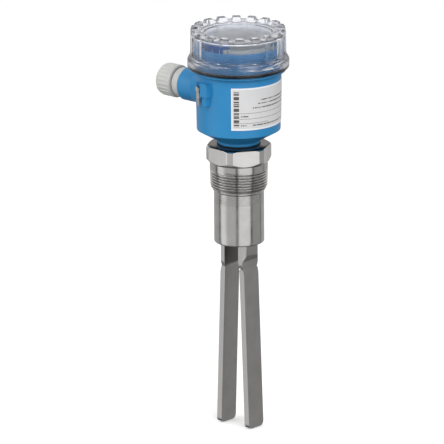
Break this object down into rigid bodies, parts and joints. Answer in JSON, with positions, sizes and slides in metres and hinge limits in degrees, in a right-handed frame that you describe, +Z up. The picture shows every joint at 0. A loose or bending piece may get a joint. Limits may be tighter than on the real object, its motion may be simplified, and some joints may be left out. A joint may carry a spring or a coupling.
{
  "type": "tuning fork level switch",
  "caption": "Compact vibrating fork level switch: clear screw cover, blue housing with cable gland and nameplate, steel hexagon with pipe thread and sleeve, flat fork tines.",
  "frame": {"origin": "on the main axis at the underside of the hexagon, where the process thread begins", "axes": "+Z up along the main axis, away from the fork; the tines lie at +X and -X, their flat faces looking along X; the cable gland points to -X"},
  "size_m": [0.1239, 0.0846, 0.3433],
  "materials": {
    "steel_turned": "fine turned",
    "steel_fork": "ground flat",
    "steel_plain": "plain",
    "blue_plastic": "moulded, satin gloss",
    "clear_plastic": "clear moulded",
    "grey_plastic": "moulded, fine texture",
    "black_rubber": "smooth",
    "nameplate": "printed film, silver grey",
    "pale_plastic": "moulded, pale",
    "black_plastic": "satin",
    "white_plastic": "moulded",
    "terminal_blue": "moulded",
    "nickel_brass": "nickel plated",
    "ceramic_white": "fired",
    "piezo_ceramic": "fired, dark",
    "contact_brass": "rolled",
    "resin": "cast",
    "board_green": "laminate",
    "lamp_lens": "clear tinted"
  },
  "bodies": {
    "fork_unit": {"process_adapter": "steel_turned", "fork_root": "steel_fork", "tine_front": "steel_fork", "tine_back": "steel_fork", "lower_insulator": "ceramic_white", "upper_insulator": "ceramic_white", "piezo_disc_1": "piezo_ceramic", "piezo_disc_2": "piezo_ceramic", "piezo_disc_3": "piezo_ceramic", "piezo_disc_4": "piezo_ceramic", "electrode_1": "contact_brass", "electrode_2": "contact_brass", "electrode_3": "contact_brass", "pressure_washer": "steel_plain", "clamp_nut": "steel_plain", "clamp_bolt": "steel_plain", "lead_tube": "white_plastic", "potting": "resin", "lead_wires": "white_plastic", "drive_plug": "black_plastic", "neck_seal": "black_rubber", "neck_o_ring": "black_rubber", "retaining_ring": "steel_plain"},
    "housing": {"housing": "blue_plastic", "nameplate": "nameplate", "tag_pin": "steel_plain", "gland_seal": "black_rubber", "gland_body": "grey_plastic", "gland_grommet": "black_rubber", "insert_pot": "pale_plastic", "insert_plate": "pale_plastic", "insert_foil": "black_plastic", "insert_screws": "nickel_brass", "terminal_block": "terminal_blue", "terminal_clamps": "nickel_brass", "terminal_screws": "nickel_brass", "switch_body": "black_plastic", "indicator_lamps": "lamp_lens", "circuit_board": "board_green", "relay": "black_plastic", "capacitor": "black_plastic", "earth_washer": "nickel_brass", "earth_screw": "nickel_brass"},
    "cover_seal": {"cover_seal": "black_rubber"},
    "cover": {"cover": "clear_plastic"},
    "gland_claw_ring": {"gland_claw_ring": "grey_plastic"},
    "gland_nut": {"gland_nut": "grey_plastic"},
    "switch_slider_1": {"switch_slider_1": "white_plastic"},
    "switch_slider_2": {"switch_slider_2": "white_plastic"}
  },
  "joints": [
    {"name": "housing_swivel", "type": "hinge", "parent": "fork_unit", "child": "housing", "pos_m": [0, 0, 0.022], "axis": [0, 0, 1], "range_deg": [-135, 135]},
    {"name": "cover_rise", "type": "slide", "parent": "housing", "child": "cover_seal", "axis": [0, 0, 1], "range_m": [0, 0.0091]},
    {"name": "cover_turn", "type": "hinge", "parent": "cover_seal", "child": "cover", "pos_m": [0, 0, 0.09], "axis": [0, 0, 1], "range_deg": [0, 1080]},
    {"name": "gland_nut_travel", "type": "slide", "parent": "housing", "child": "gland_claw_ring", "axis": [-1, 0, 0], "range_m": [0, 0.0046]},
    {"name": "gland_nut_turn", "type": "hinge", "parent": "gland_claw_ring", "child": "gland_nut", "pos_m": [-0.0724, 0, 0.057], "axis": [-1, 0, 0], "range_deg": [0, 1080]},
    {"name": "switch_slide_1", "type": "slide", "parent": "housing", "child": "switch_slider_1", "axis": [1, 0, 0], "range_m": [0, 0.002]},
    {"name": "switch_slide_2", "type": "slide", "parent": "housing", "child": "switch_slider_2", "axis": [1, 0, 0], "range_m": [0, 0.002]}
  ],
  "couplings": [
    {"joint": "cover_rise", "follows": "cover_turn", "m_per_rad": 0.00047746},
    {"joint": "gland_nut_travel", "follows": "gland_nut_turn", "m_per_rad": 0.00023873}
  ]
}
